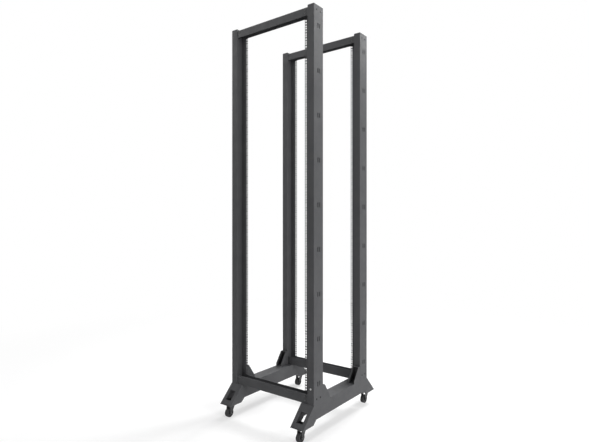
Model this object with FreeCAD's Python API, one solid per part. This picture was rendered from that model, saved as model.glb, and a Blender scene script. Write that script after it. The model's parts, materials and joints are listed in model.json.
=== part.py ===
"""Four post open frame equipment rack, 48 units high, on four swivel casters.

Millimetres. +Z is up and -Y is the front. The origin is on the floor, under the middle of
the rack. Two like frames, front and rear, stand on two folded base channels. Each frame has
two folded posts, two flat mounting strips with square holes, and a top and a bottom beam.
"""
import FreeCAD
import Part
import math
import os

Vec = FreeCAD.Vector

# Equipment spacing of the 19-inch standard
UNITS = 48                      # height in rack units
UNIT = 44.45                    # one rack unit
HOLE_OFFSETS = (6.35, 22.225, 38.1)   # three hole centres in each unit
HOLE = 9.5                      # square hole, side
HOLE_COLUMN = 232.55            # hole column from the middle plane
CLEAR_HALF = 225.0              # half the clear opening between two strips

# Overall layout
WIDTH = 640.0
FRAME_PITCH = 515.0             # front frame to rear frame
POST_DEPTH = 90.0
POST_FACE = 45.0                # width of a post's front and rear faces
POST_LIP = 12.0                 # return lip behind the rear face
STRIP_SETBACK = 45.0            # mounting face behind the post's front face
SHEET = 2.0
FOLD = 2.5                      # outside radius of the posts' front corners
BASE_LENGTH = FRAME_PITCH + POST_DEPTH
FRONT = -BASE_LENGTH / 2        # front plane of the front posts

# Heights above the floor
CASTER_HEIGHT = 80.0            # underside of the base feet
FOOT_DROP = 106.0               # post foot down to the underside of the base foot
RAIL_DEPTH = 82.0               # side of the base channel between its feet
POST_FOOT = CASTER_HEIGHT + FOOT_DROP
BOTTOM_BEAM = 54.0              # beam heights
TOP_BEAM = 45.0
TOP_BEAM_DROP = 10.0            # post top above the top beam
STRIP_MARGIN = 2.5              # plain strip past the first and the last unit
STRIP_FOOT = POST_FOOT + BOTTOM_BEAM
STRIP_TOP = STRIP_FOOT + UNITS * UNIT + 2 * STRIP_MARGIN
POST_TOP = STRIP_TOP + TOP_BEAM + TOP_BEAM_DROP

# Beams
BEAM_SETBACK = 5.0
BEAM_DEPTH = 42.0
BEAM_HALF = WIDTH / 2 - POST_FACE     # half the length, between the posts' returns

# Tie slots in the posts' outer sides
SLOT_WIDTH = 7.0
SLOT_HEIGHT = 28.0
SLOT_ROWS = 9
SLOT_END = 114.0                # first and last row from the post's ends
SLOT_SETBACKS = (39.0, 57.0)    # the two slots of a row, behind the front face

# Base channel, its feet and its gussets
BASE_WIDTH = 88.0
BASE_SHEET = 2.5
FOOT_REACH = 103.0              # foot past the post's face
FOOT_HEEL = 4.0                 # sole's inner end, outside the post's face
HEEL_RISE = 24.0                # heel's upper end, inside the post's face
GUSSET_REACH = 74.0
GUSSET_HEIGHT = 93.0
GUSSET_CREST = 20.0             # level top before the slope
GUSSET_TOE = 16.0               # upright edge under the slope
WINDOW_WIDTH = 44.0
WINDOW_LENGTH = 64.0
WINDOW_START = 47.0             # along the slope, from its upper end

# Casters
PLATE = (66.0, 76.0, 3.0)       # mounting plate
SWIVEL_GAP = 0.5                # fork's bridge under the mounting plate
BRIDGE_REACH = 20.0             # bridge before and behind the swivel axis
BRIDGE_EDGE = 6.0               # upright end of the fork's sides under the bridge
TIP = 9.0                       # fork tip about the axle
FORK_SHEET = 2.5
WHEEL_RADIUS = 27.0
WHEEL_WIDTH = 24.0
WHEEL_GAP = 2.0                 # wheel to fork, each side
TRAIL = 15.0                    # axle ahead of the swivel axis
PIN_RADIUS = 3.0                # axle and kingpin
PIN_CLEARANCE = 0.05
CASTER_X = WIDTH / 2 - BASE_WIDTH / 2
CASTER_Y = FRONT - (FOOT_REACH + FOOT_HEEL) / 2   # middle of the foot's sole

SIDES = {"left": -1, "right": 1}
ENDS = {"front": -1, "rear": 1}


# ---- helpers ---------------------------------------------------------------------------

def save(node, shape):
    """Write one sub-part, each of whose solids must be sound."""
    assert shape.isValid() and shape.Volume > 0, node
    shape.exportStep("parts/%s.step" % node)


def box(x0, x1, y0, y1, z0, z1):
    return Part.makeBox(x1 - x0, y1 - y0, z1 - z0, Vec(x0, y0, z0))


def mirror_x(shape):
    return shape.mirror(Vec(0, 0, 0), Vec(1, 0, 0))


def mirror_y(shape):
    return shape.mirror(Vec(0, 0, 0), Vec(0, 1, 0))


def to_corner(shape, side, end):
    """Mirror a front right sub-part to any of the four corners."""
    shape = shape if side == "right" else mirror_x(shape)
    return shape if end == "front" else mirror_y(shape)


def to_frame(shape, side, end):
    """Move a front right sub-part to its place in either of the two like frames."""
    shape = shape if side == "right" else mirror_x(shape)
    return shape if end == "front" else shape.translated(Vec(0, FRAME_PITCH, 0))


def plane_xy(u, v):
    return Vec(u, v, 0)


def plane_yz(u, v):
    return Vec(0, u, v)


def polygon(points, plane):
    corners = [plane(u, v) for u, v in points]
    return Part.Face(Part.makePolygon(corners + corners[:1]))


def unit(vector):
    return vector * (1 / vector.Length)


def rounded_path(corners, radii):
    """Straight edges through the corners, with a tangent arc where a radius is given."""
    edges = []
    start = corners[0]
    for i in range(1, len(corners) - 1):
        if radii[i] == 0:
            edges.append(Part.makeLine(start, corners[i]))
            start = corners[i]
            continue
        before = unit(corners[i] - corners[i - 1])
        after = unit(corners[i + 1] - corners[i])
        half_turn = before.getAngle(after) / 2
        reach = radii[i] * math.tan(half_turn)
        inward = unit(after - before)
        first = corners[i] - before * reach
        last = corners[i] + after * reach
        middle = corners[i] + inward * (radii[i] / math.cos(half_turn) - radii[i])
        edges.append(Part.makeLine(start, first))
        edges.append(Part.Arc(first, middle, last).toShape())
        start = last
    edges.append(Part.makeLine(start, corners[-1]))
    return edges


def offset_right(points, distance):
    """The same open path, moved to its right by a distance, with mitred corners."""
    moved = []
    for i, (x, y) in enumerate(points):
        normals = []
        for j in (i - 1, i):
            if 0 <= j < len(points) - 1:
                dx = points[j + 1][0] - points[j][0]
                dy = points[j + 1][1] - points[j][1]
                length = math.hypot(dx, dy)
                normals.append((dy / length, -dx / length))
        (ax, ay), (bx, by) = normals[0], normals[-1]
        scale = distance / (1 + ax * bx + ay * by)
        moved.append((x + (ax + bx) * scale, y + (ay + by) * scale))
    return moved


def folded_face(points, thickness, plane, radii=None):
    """Section of a folded sheet whose outer skin follows a path that only turns right."""
    skin = [plane(x, y) for x, y in points]
    inside = [plane(x, y) for x, y in offset_right(points, thickness)]
    outer = rounded_path(skin, radii or [0] * len(skin))
    inner = rounded_path(inside, [0] * len(inside))
    ends = [Part.makeLine(skin[-1], inside[-1]), Part.makeLine(skin[0], inside[0])]
    return Part.Face(Part.Wire(Part.__sortEdges__(outer + inner + ends)))


# ---- posts, strips and beams -----------------------------------------------------------

def post():
    """Folded post, front right: rear lip, rear face, side, front face and return."""
    outer = WIDTH / 2
    inner = outer - POST_FACE
    rear = FRONT + POST_DEPTH
    path = [(inner, rear - POST_LIP), (inner, rear), (outer, rear), (outer, FRONT),
            (inner, FRONT), (inner, FRONT + STRIP_SETBACK + SHEET)]
    section = folded_face(path, SHEET, plane_xy, [0, 0, 0, FOLD, FOLD, 0])
    column = section.extrude(Vec(0, 0, POST_TOP - POST_FOOT))
    column.translate(Vec(0, 0, POST_FOOT))
    return column.cut(Part.makeCompound(tie_slots()))


def tie_slots():
    low = POST_FOOT + SLOT_END
    pitch = (POST_TOP - POST_FOOT - 2 * SLOT_END) / (SLOT_ROWS - 1)
    slots = []
    for row in range(SLOT_ROWS):
        middle = low + row * pitch
        for setback in SLOT_SETBACKS:
            y = FRONT + setback
            slots.append(box(WIDTH / 2 - 2 * SHEET, WIDTH / 2 + SHEET,
                             y - SLOT_WIDTH / 2, y + SLOT_WIDTH / 2,
                             middle - SLOT_HEIGHT / 2, middle + SLOT_HEIGHT / 2))
    return slots


def mounting_strip():
    """Flat strip, front right, with three square holes in each rack unit."""
    y = FRONT + STRIP_SETBACK

    def rectangle(x0, x1, z0, z1):
        corners = [Vec(x0, y, z0), Vec(x1, y, z0), Vec(x1, y, z1), Vec(x0, y, z1)]
        return Part.makePolygon(corners + corners[:1])

    wires = [rectangle(CLEAR_HALF, BEAM_HALF, STRIP_FOOT, STRIP_TOP)]
    for row in range(UNITS):
        for offset in HOLE_OFFSETS:
            z = STRIP_FOOT + STRIP_MARGIN + row * UNIT + offset
            wires.append(rectangle(HOLE_COLUMN - HOLE / 2, HOLE_COLUMN + HOLE / 2,
                                   z - HOLE / 2, z + HOLE / 2))
    return Part.Face(wires, "Part::FaceMakerBullseye").extrude(Vec(0, SHEET, 0))


def beam(low, high, open_above):
    """Folded trough between two posts, open above or below."""
    face = FRONT + BEAM_SETBACK
    back = face + BEAM_DEPTH
    if open_above:
        path = [(back, high), (back, low), (face, low), (face, high)]
    else:
        path = [(face, low), (face, high), (back, high), (back, low)]
    channel = folded_face(path, SHEET, plane_yz).extrude(Vec(2 * BEAM_HALF, 0, 0))
    channel.translate(Vec(-BEAM_HALF, 0, 0))
    return channel


# ---- base ------------------------------------------------------------------------------

def base_channel():
    """Folded channel, right, open below, with a deeper foot at each end."""
    outer = WIDTH / 2
    inner = outer - BASE_WIDTH
    half = BASE_LENGTH / 2
    toe = half + FOOT_REACH
    low = CASTER_HEIGHT
    rail = POST_FOOT - RAIL_DEPTH

    def plane_xz(u, v):
        return Vec(u, -toe, v)

    path = [(inner, low), (inner, POST_FOOT), (outer, POST_FOOT), (outer, low)]
    channel = folded_face(path, BASE_SHEET, plane_xz).extrude(Vec(0, 2 * toe, 0))
    profile = [(-toe, low), (-half - FOOT_HEEL, low), (-half + HEEL_RISE, rail)]
    profile += [(-y, z) for y, z in reversed(profile)]
    profile += [(half, POST_FOOT), (-half, POST_FOOT)]
    silhouette = polygon(profile, plane_yz).extrude(Vec(WIDTH, 0, 0))
    return channel.common(silhouette)


def slope_frame():
    """Upper end, downward direction and inward normal of a front foot's sloping face."""
    top = Vec(0, FRONT, POST_FOOT)
    toe = Vec(0, FRONT - FOOT_REACH, CASTER_HEIGHT)
    down = unit(toe - top)
    inward = Vec(0, -down.z, down.y)
    return top, toe, down, inward


def foot_plate():
    """Sloping end plate of the front right foot, with its window."""
    top, toe, down, inward = slope_frame()
    across = Vec(1, 0, 0)
    left = WIDTH / 2 - BASE_WIDTH + BASE_SHEET
    right = WIDTH / 2 - BASE_SHEET
    start = BASE_SHEET / abs(down.z)          # just under the channel's top sheet
    finish = (toe - top).Length - BASE_SHEET * (1 + abs(inward.z)) / abs(down.z)

    def rectangle(x0, x1, s0, s1):
        corners = [top + across * x0 + down * s0, top + across * x1 + down * s0,
                   top + across * x1 + down * s1, top + across * x0 + down * s1]
        return Part.makePolygon(corners + corners[:1])

    middle = (left + right) / 2
    wires = [rectangle(left, right, start, finish),
             rectangle(middle - WINDOW_WIDTH / 2, middle + WINDOW_WIDTH / 2,
                       WINDOW_START, WINDOW_START + WINDOW_LENGTH)]
    return Part.Face(wires, "Part::FaceMakerBullseye").extrude(inward * BASE_SHEET)


def foot_sole():
    """Level plate between the sides of the front right foot, over its caster."""
    slope = FOOT_REACH / FOOT_DROP
    toe = FRONT - FOOT_REACH + BASE_SHEET * slope
    return box(WIDTH / 2 - BASE_WIDTH + BASE_SHEET, WIDTH / 2 - BASE_SHEET,
               toe, FRONT - FOOT_HEEL, CASTER_HEIGHT, CASTER_HEIGHT + BASE_SHEET)


def gusset():
    """Folded cap with two sides, front right, that braces the post's rear face."""
    foot = FRONT + POST_DEPTH
    end = foot + GUSSET_REACH
    top = POST_FOOT + GUSSET_HEIGHT
    path = [(foot, top), (foot + GUSSET_CREST, top), (end, POST_FOOT + GUSSET_TOE),
            (end, POST_FOOT)]
    cap = folded_face(path, SHEET, plane_yz).extrude(Vec(POST_FACE, 0, 0))
    side = polygon([(foot, POST_FOOT)] + path, plane_yz).extrude(Vec(SHEET, 0, 0))
    far_side = side.translated(Vec(POST_FACE - SHEET, 0, 0))
    shell = cap.fuse([side, far_side]).removeSplitter()
    shell.translate(Vec(BEAM_HALF, 0, 0))
    return shell


# ---- casters ---------------------------------------------------------------------------

def caster_plate():
    """Mounting plate under the front right foot, bored for the fork's kingpin."""
    length_x, length_y, thickness = PLATE
    bottom = CASTER_HEIGHT - thickness
    plate = box(CASTER_X - length_x / 2, CASTER_X + length_x / 2,
                CASTER_Y - length_y / 2, CASTER_Y + length_y / 2, bottom, CASTER_HEIGHT)
    place = Vec(CASTER_X, CASTER_Y, bottom)
    return plate.cut(Part.makeCylinder(PIN_RADIUS + PIN_CLEARANCE, thickness, place))


def caster_fork():
    """Folded fork with its kingpin and axle, on its own swivel axis; it trails forward."""
    half = WHEEL_WIDTH / 2 + WHEEL_GAP + FORK_SHEET
    top = CASTER_HEIGHT - PLATE[2] - SWIVEL_GAP
    tip_y, tip_z = -TRAIL, WHEEL_RADIUS

    def plane_xz(u, v):
        return Vec(u, -2 * WHEEL_RADIUS, v)

    path = [(-half, 0), (-half, top), (half, top), (half, 0)]
    sheet = folded_face(path, FORK_SHEET, plane_xz).extrude(Vec(0, 4 * WHEEL_RADIUS, 0))
    profile = [(-BRIDGE_REACH, top), (BRIDGE_REACH, top),
               (BRIDGE_REACH, top - BRIDGE_EDGE),
               (tip_y + TIP, tip_z - TIP / 2), (tip_y + TIP / 2, tip_z - TIP),
               (tip_y - TIP / 2, tip_z - TIP), (tip_y - TIP, tip_z - TIP / 2)]
    outline = polygon(profile, plane_yz).extrude(Vec(2 * half, 0, 0))
    outline.translate(Vec(-half, 0, 0))
    axle = Part.makeCylinder(PIN_RADIUS, 2 * half, Vec(-half, tip_y, tip_z), Vec(1, 0, 0))
    kingpin = Part.makeCylinder(PIN_RADIUS, PLATE[2], Vec(0, 0, top))
    return sheet.common(outline).fuse([axle, kingpin]).removeSplitter()


def caster_wheel():
    """Plain wheel, bored to run on the fork's axle."""
    start = Vec(-WHEEL_WIDTH / 2, -TRAIL, WHEEL_RADIUS)
    across = Vec(1, 0, 0)
    tyre = Part.makeCylinder(WHEEL_RADIUS, WHEEL_WIDTH, start, across)
    bore = Part.makeCylinder(PIN_RADIUS + PIN_CLEARANCE, WHEEL_WIDTH, start, across)
    return tyre.cut(bore)


# ---- assembly --------------------------------------------------------------------------

def build():
    os.makedirs("parts", exist_ok=True)
    column, strip = post(), mounting_strip()
    plate, sole, brace, mount = foot_plate(), foot_sole(), gusset(), caster_plate()
    fork, wheel = caster_fork(), caster_wheel()
    channel = base_channel()
    beams = {"bottom": beam(POST_FOOT, STRIP_FOOT, open_above=True),
             "top": beam(STRIP_TOP, STRIP_TOP + TOP_BEAM, open_above=False)}
    for side in SIDES:
        save("base_channel_" + side, channel if side == "right" else mirror_x(channel))
    for end, y_sign in ENDS.items():
        for level, shape in beams.items():
            save("%s_beam_%s" % (level, end), to_frame(shape, "right", end))
        for side, x_sign in SIDES.items():
            corner = "%s_%s" % (end, side)
            save("post_" + corner, to_frame(column, side, end))
            save("mounting_strip_" + corner, to_frame(strip, side, end))
            save("gusset_" + corner, to_corner(brace, side, end))
            save("foot_plate_" + corner, to_corner(plate, side, end))
            save("foot_sole_" + corner, to_corner(sole, side, end))
            save("caster_plate_" + corner, to_corner(mount, side, end))
            pivot = Vec(x_sign * CASTER_X, -y_sign * CASTER_Y, 0)
            save("caster_fork_" + corner, fork.translated(pivot))
            save("caster_wheel_" + corner, wheel.translated(pivot))


build()
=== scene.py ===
"""Looks of a four post open frame equipment rack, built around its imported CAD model.

Metres. +Z is up and -Y is the front. The CAD nodes get powder coat, dark plated steel or black
nylon. They keep their shapes, except that gussets open along their slope and moulded wheels
stand for the plain ones. Screws, bolts, nuts and race collars are pieces of this script too,
and each piece rides on the CAD body that carries it.
"""

import json
import math

import bmesh
import bpy
from mathutils import Matrix, Vector

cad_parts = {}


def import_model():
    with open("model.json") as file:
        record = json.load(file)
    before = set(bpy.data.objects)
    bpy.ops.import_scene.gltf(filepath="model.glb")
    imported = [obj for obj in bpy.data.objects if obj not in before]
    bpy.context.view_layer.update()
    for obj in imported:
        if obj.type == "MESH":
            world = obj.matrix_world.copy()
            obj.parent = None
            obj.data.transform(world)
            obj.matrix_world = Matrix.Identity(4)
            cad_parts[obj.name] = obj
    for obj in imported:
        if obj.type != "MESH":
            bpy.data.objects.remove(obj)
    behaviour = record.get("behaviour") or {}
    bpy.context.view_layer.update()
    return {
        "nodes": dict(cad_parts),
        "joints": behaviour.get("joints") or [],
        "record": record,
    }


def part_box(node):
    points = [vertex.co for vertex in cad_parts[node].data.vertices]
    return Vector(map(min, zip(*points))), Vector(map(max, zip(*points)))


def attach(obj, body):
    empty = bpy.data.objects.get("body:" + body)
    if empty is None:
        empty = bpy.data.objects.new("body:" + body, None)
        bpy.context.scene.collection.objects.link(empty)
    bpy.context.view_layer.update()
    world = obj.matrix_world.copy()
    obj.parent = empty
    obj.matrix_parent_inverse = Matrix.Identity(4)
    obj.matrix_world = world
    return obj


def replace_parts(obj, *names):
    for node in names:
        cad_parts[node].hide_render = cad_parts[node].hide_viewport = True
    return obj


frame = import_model()

CORNERS = [(end, side) for end in ("front", "rear") for side in ("left", "right")]
X, Y, Z = Vector((1, 0, 0)), Vector((0, 1, 0)), Vector((0, 0, 1))


# ---- materials -------------------------------------------------------------------------

class Nodes:
    """A new material's node tree, with short ways to add and join nodes."""

    def __init__(self, name):
        self.material = bpy.data.materials.new(name)
        self.material.use_nodes = True
        self.tree = self.material.node_tree
        self.shader = self.tree.nodes["Principled BSDF"]
        self.place = self.add("ShaderNodeTexCoord").outputs["Object"]

    def add(self, kind, **values):
        node = self.tree.nodes.new(kind)
        for key, value in values.items():
            setattr(node, key, value)
        return node

    def join(self, output, socket):
        self.tree.links.new(output, socket)

    def noise(self, scale, detail=3.0, roughness=0.5):
        """Fractal noise fixed to the object, with features about 1 / scale metres wide."""
        node = self.add("ShaderNodeTexNoise")
        node.inputs["Scale"].default_value = scale
        node.inputs["Detail"].default_value = detail
        node.inputs["Roughness"].default_value = roughness
        self.join(self.place, node.inputs["Vector"])
        return node.outputs["Fac"]

    def ramp(self, value, low, high, start, finish):
        """Value from low to high becomes a value from start to finish, clamped."""
        node = self.add("ShaderNodeMapRange", clamp=True)
        for name, number in (("From Min", low), ("From Max", high),
                             ("To Min", start), ("To Max", finish)):
            node.inputs[name].default_value = number
        self.join(value, node.inputs["Value"])
        return node.outputs["Result"]

    def blend(self, factor, first, second):
        """Mix of two colours; each is a linear RGB triple or the output of a node."""
        node = self.add("ShaderNodeMix", data_type="RGBA")
        self.join(factor, node.inputs["Factor"])
        for name, colour in (("A", first), ("B", second)):
            socket = [s for s in node.inputs if s.name == name and s.type == "RGBA"][0]
            if isinstance(colour, tuple):
                socket.default_value = (*colour, 1.0)
            else:
                self.join(colour, socket)
        return [s for s in node.outputs if s.type == "RGBA"][0]

    def edges(self, radius, low, high):
        """Mask of a painted highlight and wear along outside edges: 1 there, 0 elsewhere, broken
        up by noise.
        """
        bevel = self.add("ShaderNodeBevel", samples=6)
        bevel.inputs["Radius"].default_value = radius
        flat = self.add("ShaderNodeNewGeometry").outputs["Normal"]
        dot = self.add("ShaderNodeVectorMath", operation="DOT_PRODUCT")
        self.join(bevel.outputs["Normal"], dot.inputs[0])
        self.join(flat, dot.inputs[1])
        edge = self.ramp(dot.outputs["Value"], high, low, 0.0, 1.0)
        patchy = self.ramp(self.noise(60.0, 4.0, 0.6), 0.45, 0.65, 0.0, 1.0)
        both = self.add("ShaderNodeMath", operation="MULTIPLY")
        self.join(edge, both.inputs[0])
        self.join(patchy, both.inputs[1])
        return both.outputs["Value"]

    def bump(self, height, strength, distance):
        node = self.add("ShaderNodeBump")
        node.inputs["Strength"].default_value = strength
        node.inputs["Distance"].default_value = distance
        self.join(height, node.inputs["Height"])
        self.join(node.outputs["Normal"], self.shader.inputs["Normal"])


def powder_coat():
    """Black powder coat: a fine orange-peel grain, and outside edges made lighter by a painted
    highlight and wear.
    """
    nodes = Nodes("powder_coat")
    shader = nodes.shader
    mottled = nodes.blend(nodes.ramp(nodes.noise(9.0, 4.0), 0.3, 0.7, 0.0, 1.0),
                          (0.088, 0.089, 0.093), (0.103, 0.104, 0.108))
    # outside edges lighter: a painted highlight where rounded folds would catch the light, and
    # wear
    edge_highlight_and_wear = nodes.blend(nodes.edges(0.0012, 0.80, 0.97), mottled, (0.15, 0.15, 0.152))
    nodes.join(edge_highlight_and_wear, shader.inputs["Base Color"])
    nodes.join(nodes.ramp(nodes.noise(35.0, 5.0), 0.3, 0.7, 0.44, 0.60),
               shader.inputs["Roughness"])
    shader.inputs["Specular IOR Level"].default_value = 0.2
    nodes.bump(nodes.noise(1400.0, 2.0), 0.35, 0.0003)
    return nodes.material


def caster_steel():
    """Dark plated pressed steel, smoother than the coat, with a faint patchy tone."""
    nodes = Nodes("caster_steel")
    shader = nodes.shader
    tone = nodes.blend(nodes.ramp(nodes.noise(120.0, 4.0), 0.35, 0.65, 0.0, 1.0),
                       (0.030, 0.030, 0.032), (0.050, 0.050, 0.052))
    # outside edges lighter: a painted highlight where rounded folds would catch the light, and
    # wear
    edge_highlight_and_wear = nodes.blend(nodes.edges(0.0008, 0.80, 0.97), tone, (0.16, 0.16, 0.165))
    nodes.join(edge_highlight_and_wear, shader.inputs["Base Color"])
    shader.inputs["Metallic"].default_value = 0.35
    nodes.join(nodes.ramp(nodes.noise(90.0), 0.3, 0.7, 0.34, 0.5), shader.inputs["Roughness"])
    nodes.bump(nodes.noise(700.0), 0.2, 0.0002)
    return nodes.material


def caster_wheel():
    """Matt black nylon with a faint moulded grain and grey dust."""
    nodes = Nodes("caster_wheel")
    shader = nodes.shader
    dusty = nodes.blend(nodes.ramp(nodes.noise(160.0, 5.0, 0.65), 0.5, 0.75, 0.0, 1.0),
                        (0.022, 0.022, 0.024), (0.060, 0.059, 0.057))
    nodes.join(dusty, shader.inputs["Base Color"])
    nodes.join(nodes.ramp(nodes.noise(220.0), 0.3, 0.7, 0.55, 0.78), shader.inputs["Roughness"])
    nodes.bump(nodes.noise(900.0), 0.3, 0.0003)
    return nodes.material


def plated_screw(name, tones, metallic, roughness, tone_scale, gloss_scale):
    """Plating on screws and nuts, dulled in patches between two tones."""
    nodes = Nodes(name)
    shader = nodes.shader
    patches = nodes.ramp(nodes.noise(tone_scale, 3.0), 0.4, 0.6, 0.0, 1.0)
    nodes.join(nodes.blend(patches, *tones), shader.inputs["Base Color"])
    shader.inputs["Metallic"].default_value = metallic
    nodes.join(nodes.ramp(nodes.noise(gloss_scale), 0.3, 0.7, *roughness),
               shader.inputs["Roughness"])
    nodes.bump(nodes.noise(2500.0), 0.15, 0.0001)
    return nodes.material


ZINC = ((0.42, 0.43, 0.44), (0.62, 0.62, 0.60))
DARK_NICKEL = ((0.085, 0.086, 0.088), (0.150, 0.150, 0.148))
BLACK_OXIDE = ((0.012, 0.012, 0.013), (0.026, 0.026, 0.027))

MATERIALS = {
    "powder_coat": powder_coat(),
    "caster_steel": caster_steel(),
    "caster_wheel": caster_wheel(),
    "zinc_screw": plated_screw("zinc_screw", ZINC, 0.9, (0.28, 0.45), 500.0, 800.0),
    "dull_screw": plated_screw("dull_screw", DARK_NICKEL, 0.6, (0.42, 0.58), 500.0, 800.0),
    "black_screw": plated_screw("black_screw", BLACK_OXIDE, 0.5, (0.38, 0.52), 600.0, 700.0),
}


def dress_cad():
    """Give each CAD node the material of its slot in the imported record."""
    for row in frame["record"]["subparts"]:
        node = frame["nodes"][row["node"]]
        node.data.materials.clear()
        node.data.materials.append(MATERIALS[row["material_slot"]])


# ---- mesh tools ------------------------------------------------------------------------

SMOOTH_BELOW = 30               # degrees between two faces; sharper edges stay crisp


def turned(profile, segments=32):
    """Solid of revolution about Z from (radius, height) points, axis to axis or round a ring."""
    mesh = bmesh.new()
    rings = []
    for radius, height in profile:
        if radius == 0:
            rings.append([mesh.verts.new((0, 0, height))] * segments)
            continue
        angles = [2 * math.pi * i / segments for i in range(segments)]
        rings.append([mesh.verts.new((radius * math.cos(a), radius * math.sin(a), height))
                      for a in angles])
    for low, high in zip(rings, rings[1:]):
        for i in range(segments):
            j = (i + 1) % segments
            corners = list(dict.fromkeys([low[i], low[j], high[j], high[i]]))
            if len(corners) > 2:
                mesh.faces.new(corners)
    return mesh


def prism(sides, radius, height, chamfer):
    """Prism that stands on the XY plane with a chamfered top, such as a hexagon head."""
    inner = radius - chamfer
    return turned([(0, 0), (radius, 0), (radius, height - chamfer), (inner, height),
                   (0, height)], sides)


def cut(mesh, tool):
    """Boolean difference of two bmeshes, through Blender's exact solver."""
    pair = []
    for part in (mesh, tool):
        data = bpy.data.meshes.new("scratch")
        bmesh.ops.recalc_face_normals(part, faces=part.faces)
        part.to_mesh(data)
        part.free()
        holder = bpy.data.objects.new("scratch", data)
        bpy.context.scene.collection.objects.link(holder)
        pair.append(holder)
    body, cutter = pair
    modifier = body.modifiers.new("cut", "BOOLEAN")
    modifier.operation = "DIFFERENCE"
    modifier.object = cutter
    bpy.context.view_layer.update()
    result = bmesh.new()
    result.from_mesh(body.evaluated_get(bpy.context.evaluated_depsgraph_get()).to_mesh())
    bmesh.ops.dissolve_degenerate(result, dist=0.00001, edges=result.edges)
    for holder in pair:
        data = holder.data
        bpy.data.objects.remove(holder)
        bpy.data.meshes.remove(data)
    return result


def turn_to(axis):
    """Rotation that takes +Z to the given direction."""
    return Z.rotation_difference(Vector(axis)).to_matrix().to_4x4()


def copies(name, mesh, places, material, body):
    """One object with a copy of the mesh at each place, riding on a CAD body."""
    data = bpy.data.meshes.new(name)
    whole = bmesh.new()
    bmesh.ops.recalc_face_normals(mesh, faces=mesh.faces)
    mesh.to_mesh(data)
    for place in places:
        start = len(whole.verts)
        whole.from_mesh(data)
        whole.verts.ensure_lookup_table()
        bmesh.ops.transform(whole, matrix=place, verts=whole.verts[start:])
    mesh.free()
    for face in whole.faces:
        face.smooth = True
    for edge in whole.edges:
        edge.smooth = edge.calc_face_angle(0) < math.radians(SMOOTH_BELOW)
    whole.to_mesh(data)
    whole.free()
    data.materials.append(MATERIALS[material])
    piece = bpy.data.objects.new(name, data)
    bpy.context.scene.collection.objects.link(piece)
    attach(piece, body)
    return piece


# ---- gussets ---------------------------------------------------------------------------

GUSSET_SHEET = 0.002
GUSSET_CREST = 0.020            # level top before the slope
GUSSET_TOE = 0.016              # upright edge under the slope


def plate_across(profile, start, finish):
    """Prism along X from start to finish, from a profile of (y, z) points."""
    mesh = bmesh.new()
    ends = [mesh.faces.new([mesh.verts.new((x, y, z)) for y, z in profile])
            for x in (start, finish)]
    count = len(profile)
    first, last = [list(face.verts) for face in ends]
    for i in range(count):
        j = (i + 1) % count
        mesh.faces.new((first[i], first[j], last[j], last[i]))
    return mesh


def open_gusset(end, side):
    """Folded gusset with a back on the post, two sides and a crest, open along its slope."""
    name = "%s_%s" % (end, side)
    corner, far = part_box("gusset_" + name)
    back, front = (corner.y, far.y) if end == "front" else (far.y, corner.y)
    inward = 1 if front > back else -1
    sheet, spare = GUSSET_SHEET, 0.001
    crest = back + inward * GUSSET_CREST
    outline = [(back, corner.z), (back, far.z), (crest, far.z),
               (front, corner.z + GUSSET_TOE), (front, corner.z)]
    beyond = front + inward * spare
    inside = back + inward * sheet
    hollow = [(inside, corner.z - spare), (inside, far.z - sheet), (crest, far.z - sheet),
              (crest, far.z + spare), (beyond, far.z + spare), (beyond, corner.z - spare)]
    shell = cut(plate_across(outline, corner.x, far.x),
                plate_across(hollow, corner.x + sheet, far.x - sheet))
    gusset = copies("open_gusset_" + name, shell, [Matrix.Identity(4)], "powder_coat", "rack")
    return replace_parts(gusset, "gusset_" + name)


# ---- fasteners -------------------------------------------------------------------------

# Screw heads: radius, height above the seat, radius of the socket's corners
BEAM_SCREW = (0.0048, 0.0030, 0.0024)
SIDE_SCREW = (0.0058, 0.0014, 0.0028)
EARTH_SCREW = (0.0058, 0.0036, 0.0028)

BEAM_SCREW_INSET = 0.020        # from a beam's end
BEAM_SCREW_LEVELS = (0.28, 0.72)    # shares of a beam's height
SIDE_SCREW_DEPTHS = (0.31, 0.72)    # shares of a post's depth
SIDE_SCREW_FOOT = 0.032         # above a post's foot
SIDE_SCREW_TOP = 0.027          # below a post's top
EARTH_SCREW_HEIGHT = 0.090      # above the post's foot


def socket_screw(head, height, drive):
    """Button head with a hexagon socket, its seat on the XY plane."""
    dome = [(0, 0), (head, 0), (head, 0.25 * height)]
    for step in range(1, 7):
        angle = math.radians(90 * step / 6)
        dome.append((head - 0.45 * head * (1 - math.cos(angle)),
                     height * (0.25 + 0.75 * math.sin(angle))))
    dome.append((0, height))
    socket = prism(6, drive, 2 * height, 0.1 * drive)
    bmesh.ops.translate(socket, verts=socket.verts, vec=(0, 0, 0.4 * height))
    return cut(turned(dome), socket)


def hexagon_head(across, height):
    """Hexagon bolt head or nut, from its width across the flats."""
    return prism(6, across / math.sqrt(3), height, 0.12 * across)


def on_face(point, outward):
    """Place of a piece whose seat lies at a point of a face and whose top points outward."""
    return Matrix.Translation(point) @ turn_to(outward)


def beam_screws():
    """Two dull button screws at each end of every beam's front face."""
    for end in ("front", "rear"):
        places = []
        for level in ("bottom", "top"):
            corner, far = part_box("%s_beam_%s" % (level, end))
            for x in (corner.x + BEAM_SCREW_INSET, far.x - BEAM_SCREW_INSET):
                for share in BEAM_SCREW_LEVELS:
                    z = corner.z + share * (far.z - corner.z)
                    places.append(on_face(Vector((x, corner.y, z)), -Y))
        copies("beam_screws_" + end, socket_screw(*BEAM_SCREW), places, "dull_screw", "rack")


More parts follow.
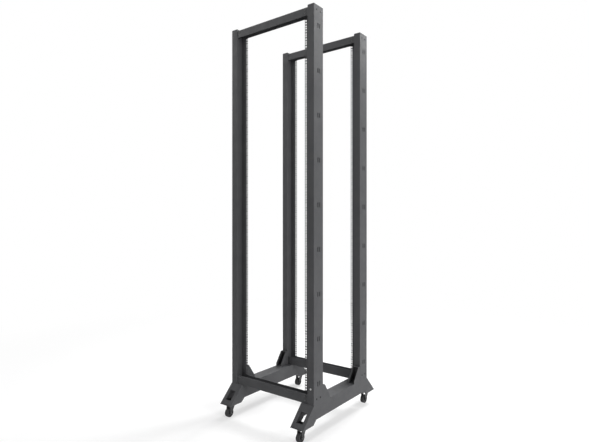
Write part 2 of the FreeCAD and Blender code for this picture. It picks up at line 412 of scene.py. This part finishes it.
def post_screws():
    """Four flush button screws in the outer side of each post."""
    for end, side in CORNERS:
        corner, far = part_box("post_%s_%s" % (end, side))
        outward = X if side == "right" else -X
        face = far.x if side == "right" else corner.x
        depth = far.y - corner.y
        places = []
        for share in SIDE_SCREW_DEPTHS:
            for z in (corner.z + SIDE_SCREW_FOOT, far.z - SIDE_SCREW_TOP):
                y = corner.y + share * depth
                places.append(on_face(Vector((face, y, z)), outward))
        copies("side_screws_%s_%s" % (end, side), socket_screw(*SIDE_SCREW), places,
               "black_screw", "rack")


def earth_screw():
    """One bright earthing screw low on the front face of the front right post."""
    corner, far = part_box("post_front_right")
    middle = Vector(((corner.x + far.x) / 2, corner.y, corner.z + EARTH_SCREW_HEIGHT))
    copies("earth_screw", socket_screw(*EARTH_SCREW), [on_face(middle, -Y)], "zinc_screw",
           "rack")


# ---- casters ---------------------------------------------------------------------------

FORK_SHEET = 0.0025
SWIVEL_GAP = 0.0005             # mounting plate to fork
PLATE_BOLT_INSET = 0.0075       # from the mounting plate's edges
PLATE_BOLT = (0.009, 0.0035)    # width across the flats, height
KINGPIN_NUT = (0.013, 0.0065)
AXLE_BOLT = (0.010, 0.0042)
COLLAR_INSIDE = 0.0264          # radius, clear of the fork's corners
COLLAR_OUTSIDE = 0.0292
COLLAR_HEIGHT = 0.0062
COLLAR_FILLET = 0.0010

HUB_BORE = 0.0031               # radius
HUB_RADIUS = 0.0075
RIM_DEPTH = 0.0065              # tread's surface to the recess
WEB_RECESS = 0.0035             # hub's end face to the web
TREAD_ROUNDING = 0.0025


def race_collar():
    """Pressed ring round the ball race, its seat on the XY plane."""
    inner, outer = COLLAR_INSIDE, COLLAR_OUTSIDE
    height, fillet = COLLAR_HEIGHT, COLLAR_FILLET
    return turned([(inner, 0), (outer - fillet, 0), (outer, 0.0014), (outer, height - 0.0012),
                   (outer - fillet, height), (inner + 0.0004, height),
                   (inner, height - 0.0006), (inner, 0)], 64)


def caster_detail(end, side):
    """Bolts, race collar, kingpin nut, axle bolt and moulded wheel of one caster."""
    name = "%s_%s" % (end, side)
    pivots = {j["name"]: Vector(j["pos_m"]) for j in frame["joints"]}
    pivot = pivots["caster_swivel_" + name]
    axle = pivots["caster_roll_" + name]
    plate_low, plate_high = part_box("caster_plate_" + name)
    fork_low, fork_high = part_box("caster_fork_" + name)
    under = Vector((pivot.x, pivot.y, plate_low.z))

    inset = PLATE_BOLT_INSET
    bolts = [on_face(Vector((x, y, plate_low.z)), -Z)
             for x in (plate_low.x + inset, plate_high.x - inset)
             for y in (plate_low.y + inset, plate_high.y - inset)]
    copies("plate_bolts_" + name, hexagon_head(*PLATE_BOLT), bolts, "zinc_screw", "rack")
    copies("race_collar_" + name, race_collar(), [on_face(under, -Z)], "caster_steel", "rack")

    bridge = Vector((pivot.x, pivot.y, plate_low.z - SWIVEL_GAP - FORK_SHEET))
    copies("kingpin_nut_" + name, hexagon_head(*KINGPIN_NUT), [on_face(bridge, -Z)],
           "zinc_screw", "swivel_" + name)

    ends = [on_face(Vector((fork_high.x, axle.y, axle.z)), X),
            on_face(Vector((fork_low.x, axle.y, axle.z)), -X)]
    copies("axle_bolt_" + name, hexagon_head(*AXLE_BOLT), ends, "dull_screw",
           "swivel_" + name)
    wheel_piece(name, axle)


def wheel_piece(name, axle):
    """Moulded wheel: rounded tread, recessed webs and a hub bored for the axle."""
    corner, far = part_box("caster_wheel_" + name)
    radius = (far.z - corner.z) / 2
    half = (far.x - corner.x) / 2
    rim = radius - RIM_DEPTH
    web = half - WEB_RECESS
    section = [(HUB_BORE, -half), (HUB_RADIUS, -half), (HUB_RADIUS + 0.0008, -half + 0.0008),
               (HUB_RADIUS + 0.0012, -web), (rim - 0.0010, -web), (rim, -half + 0.0006),
               (rim + 0.0008, -half)]
    for step in range(5):
        angle = math.radians(90 * step / 4)
        section.append((radius - TREAD_ROUNDING * (1 - math.sin(angle)),
                        -half + TREAD_ROUNDING * (1 - math.cos(angle))))
    section += [(r, -z) for r, z in reversed(section)]
    section.append(section[0])
    wheel = copies("wheel_" + name, turned(section, 72), [on_face(axle, X)], "caster_wheel",
                   "wheel_" + name)
    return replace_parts(wheel, "caster_wheel_" + name)


# ---- floor, backdrop and lights --------------------------------------------------------

FLOOR_WIDTH = 60.0
FLOOR_GREY = 0.62               # as it throws light back at the rack
NEAR_GREY, NEAR_GLOW = 0.42, 0.61       # as it is looked at near the rack, with its shadow
FADE_START, FADE_END = 1.2, 4.0         # distances over which it turns white

AMBIENT = 0.09                  # strength of the even light from all round
AMBIENT_TINT = (0.95, 0.97, 1.0, 1)

CAMERA_LENS = 28.52             # millimetres, on a 36 mm frame
CAMERA_PLACE = (1.815, -2.428, 1.218)
CAMERA_TURN = 37.50             # degrees to the left of +Y


def emptied(owner):
    """Node tree of a material or world, with nothing in it."""
    owner.use_nodes = True
    owner.node_tree.nodes.clear()
    return owner.node_tree


def add(tree, kind, *feeds, **values):
    """New node, with the outputs joined to its first sockets and values set on named ones."""
    node = tree.nodes.new(kind)
    for output, socket in zip(feeds, node.inputs):
        tree.links.new(output, socket)
    for name, value in values.items():
        node.inputs[name].default_value = value
    return node.outputs[0]


def grey(level):
    return (level, level, level, 1)


def seen(tree):
    """1 for rays that look at the background directly, by gloss or through glass."""
    path = tree.nodes.new("ShaderNodeLightPath")
    total = path.outputs["Is Camera Ray"]
    for name in ("Is Glossy Ray", "Is Transmission Ray"):
        larger = tree.nodes.new("ShaderNodeMath")
        larger.operation = "MAXIMUM"
        tree.links.new(total, larger.inputs[0])
        tree.links.new(path.outputs[name], larger.inputs[1])
        total = larger.outputs["Value"]
    return total


def fade(tree):
    """0 near the rack, rising smoothly to 1 further off."""
    place = tree.nodes.new("ShaderNodeTexCoord").outputs["Object"]
    distance = tree.nodes.new("ShaderNodeVectorMath")
    distance.operation = "LENGTH"
    tree.links.new(place, distance.inputs[0])
    ramp = tree.nodes.new("ShaderNodeMapRange")
    ramp.interpolation_type = "SMOOTHSTEP"
    ramp.inputs["From Min"].default_value = FADE_START
    ramp.inputs["From Max"].default_value = FADE_END
    tree.links.new(distance.outputs["Value"], ramp.inputs["Value"])
    return ramp.outputs["Result"]


def floor():
    """Pale floor that keeps a soft shadow by the rack and fades to white further off."""
    material = bpy.data.materials.new("floor_white")
    tree = emptied(material)
    plain = add(tree, "ShaderNodeBsdfDiffuse", Color=grey(FLOOR_GREY))
    shaded = add(tree, "ShaderNodeBsdfDiffuse", Color=grey(NEAR_GREY))
    glow = add(tree, "ShaderNodeEmission", Strength=NEAR_GLOW)
    near = add(tree, "ShaderNodeAddShader", shaded, glow)
    white = add(tree, "ShaderNodeEmission")
    viewed = add(tree, "ShaderNodeMixShader", fade(tree), near, white)
    surface = add(tree, "ShaderNodeMixShader", seen(tree), plain, viewed)
    tree.links.new(surface, tree.nodes.new("ShaderNodeOutputMaterial").inputs["Surface"])

    mesh = bmesh.new()
    bmesh.ops.create_grid(mesh, x_segments=1, y_segments=1, size=FLOOR_WIDTH / 2)
    data = bpy.data.meshes.new("floor")
    mesh.to_mesh(data)
    mesh.free()
    data.materials.append(material)
    plane = bpy.data.objects.new("floor", data)
    bpy.context.scene.collection.objects.link(plane)


def world():
    """White where it is looked at, and an even grey light on everything else."""
    sky = bpy.data.worlds.new("studio")
    bpy.context.scene.world = sky
    tree = emptied(sky)
    ambient = add(tree, "ShaderNodeBackground", Color=AMBIENT_TINT, Strength=AMBIENT)
    white = add(tree, "ShaderNodeBackground", Color=grey(1), Strength=1.0)
    backdrop = add(tree, "ShaderNodeMixShader", seen(tree), ambient, white)
    tree.links.new(backdrop, tree.nodes.new("ShaderNodeOutputWorld").inputs["Surface"])


def softbox(name, place, aim, width, power):
    """Square area light at a place, turned to face a point; power in watts."""
    data = bpy.data.lights.new(name, "AREA")
    data.shape = "SQUARE"
    data.size = width
    data.energy = power
    lamp = bpy.data.objects.new(name, data)
    lamp.location = place
    lamp.rotation_euler = (Vector(aim) - Vector(place)).to_track_quat("-Z", "Y").to_euler()
    bpy.context.scene.collection.objects.link(lamp)


def lights():
    """Key from the right, a weak fill from the left front and an overhead from behind."""
    softbox("key_right", (6.8, -1.1, 2.8), (0, 0, 1.2), 3.2, 275)
    softbox("fill_left", (-2.0, -2.2, 3.3), (0, 0, 1.4), 2.0, 27)
    softbox("overhead", (0.2, 3.4, 4.8), (0, 0, 0.6), 2.4, 420)


def camera():
    """Level camera to the front right, at about breast height."""
    data = bpy.data.cameras.new("camera")
    data.lens = CAMERA_LENS
    view = bpy.data.objects.new("camera", data)
    view.location = CAMERA_PLACE
    view.rotation_euler = (math.radians(90), 0, math.radians(CAMERA_TURN))
    bpy.context.scene.collection.objects.link(view)
    bpy.context.scene.camera = view


# ---- scene -----------------------------------------------------------------------------

dress_cad()
beam_screws()
post_screws()
earth_screw()
for end, side in CORNERS:
    open_gusset(end, side)
    caster_detail(end, side)
floor()
world()
lights()
camera()
bpy.context.scene.view_settings.view_transform = "Standard"
